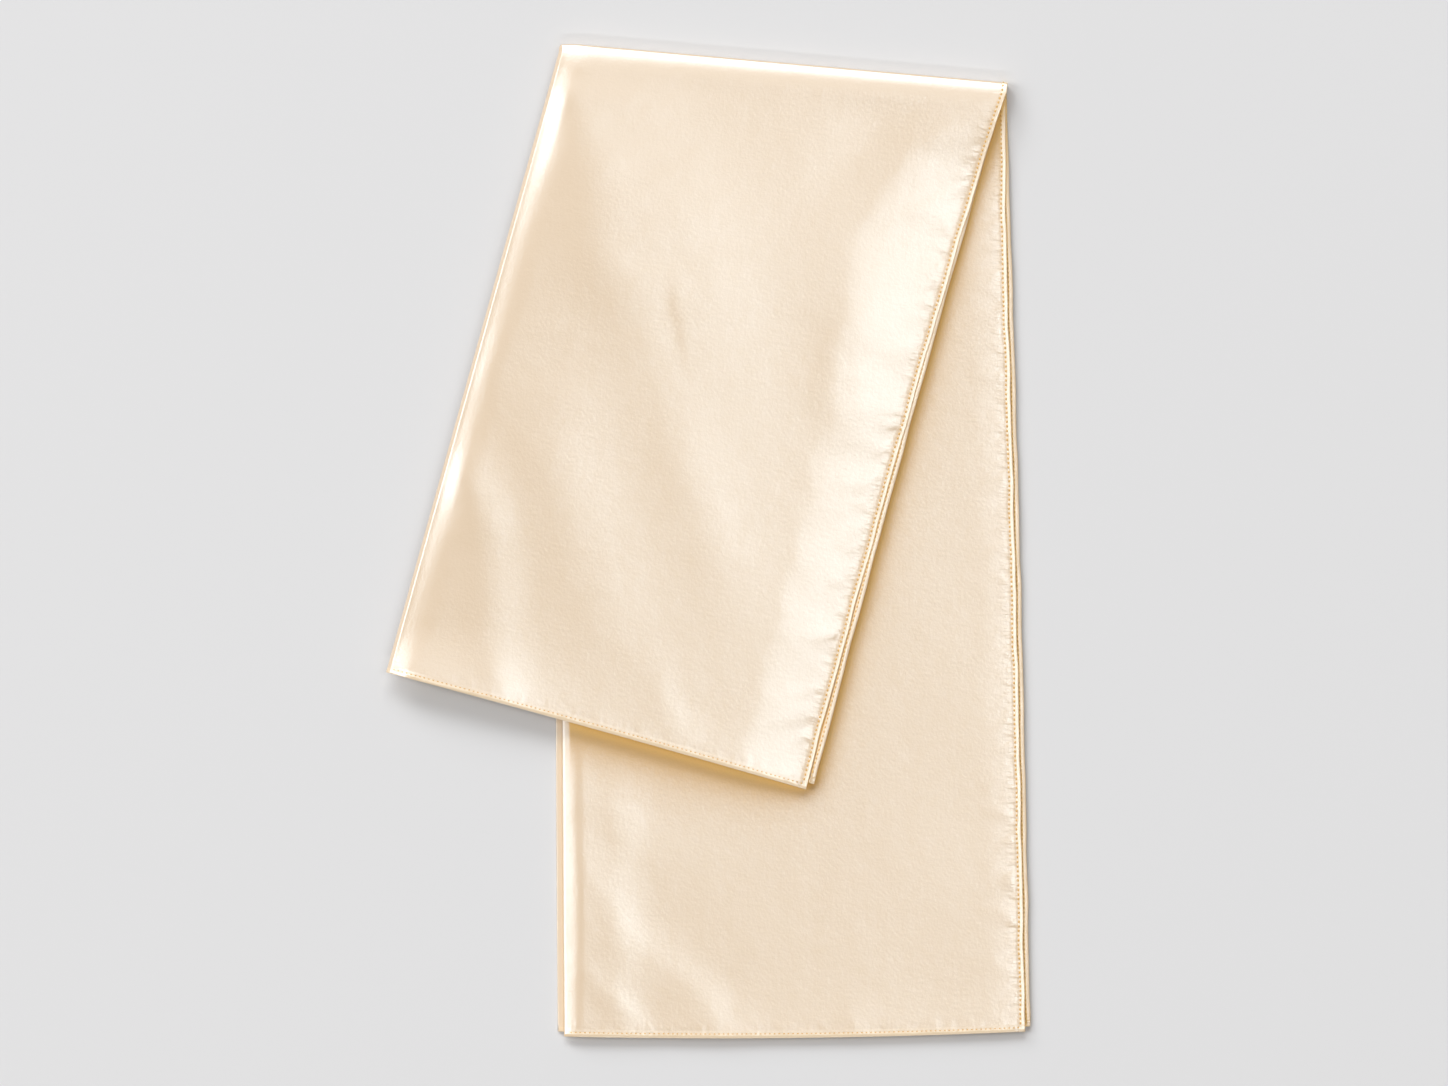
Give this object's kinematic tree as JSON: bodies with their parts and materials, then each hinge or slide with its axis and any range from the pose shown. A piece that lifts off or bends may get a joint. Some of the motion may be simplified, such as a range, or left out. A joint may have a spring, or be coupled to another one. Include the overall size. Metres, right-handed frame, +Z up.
{
  "type": "folded square scarf",
  "caption": "Square satin scarf folded into a layered strip and doubled over at one end, lying flat, with narrow stitched hems",
  "frame": {"origin": "under the middle of the folded scarf's bounding box, on the surface that it lies on", "axes": "+Z up from that surface; +Y along the folded strip towards the doubled-over top fold; +X towards the hemmed side of the lower run"},
  "size_m": [0.3499, 0.5409, 0.0154],
  "materials": {
    "satin": "champagne ivory satin with a soft sheen",
    "hem": "the same satin turned twice and stitched, slightly deeper in tone",
    "thread": "matching sewing thread"
  },
  "bodies": {
    "root": {"lower_bottom_panel": "satin", "lower_bottom_side_hem": "hem", "lower_bottom_end_hem": "hem", "lower_inner_layers": "satin", "lower_top_panel": "satin", "lower_top_side_hem": "hem", "lower_top_end_hem": "hem", "top_fold_outer_layer": "satin", "top_fold_outer_side_hem": "hem", "top_fold_inner_layers": "satin", "top_fold_core_layer": "satin", "upper_bottom_panel": "satin", "upper_bottom_side_hem": "hem", "upper_bottom_end_hem": "hem", "upper_inner_layers": "satin", "upper_top_panel": "satin", "upper_top_side_hem": "hem", "upper_top_end_hem": "hem"}
  },
  "joints": []
}
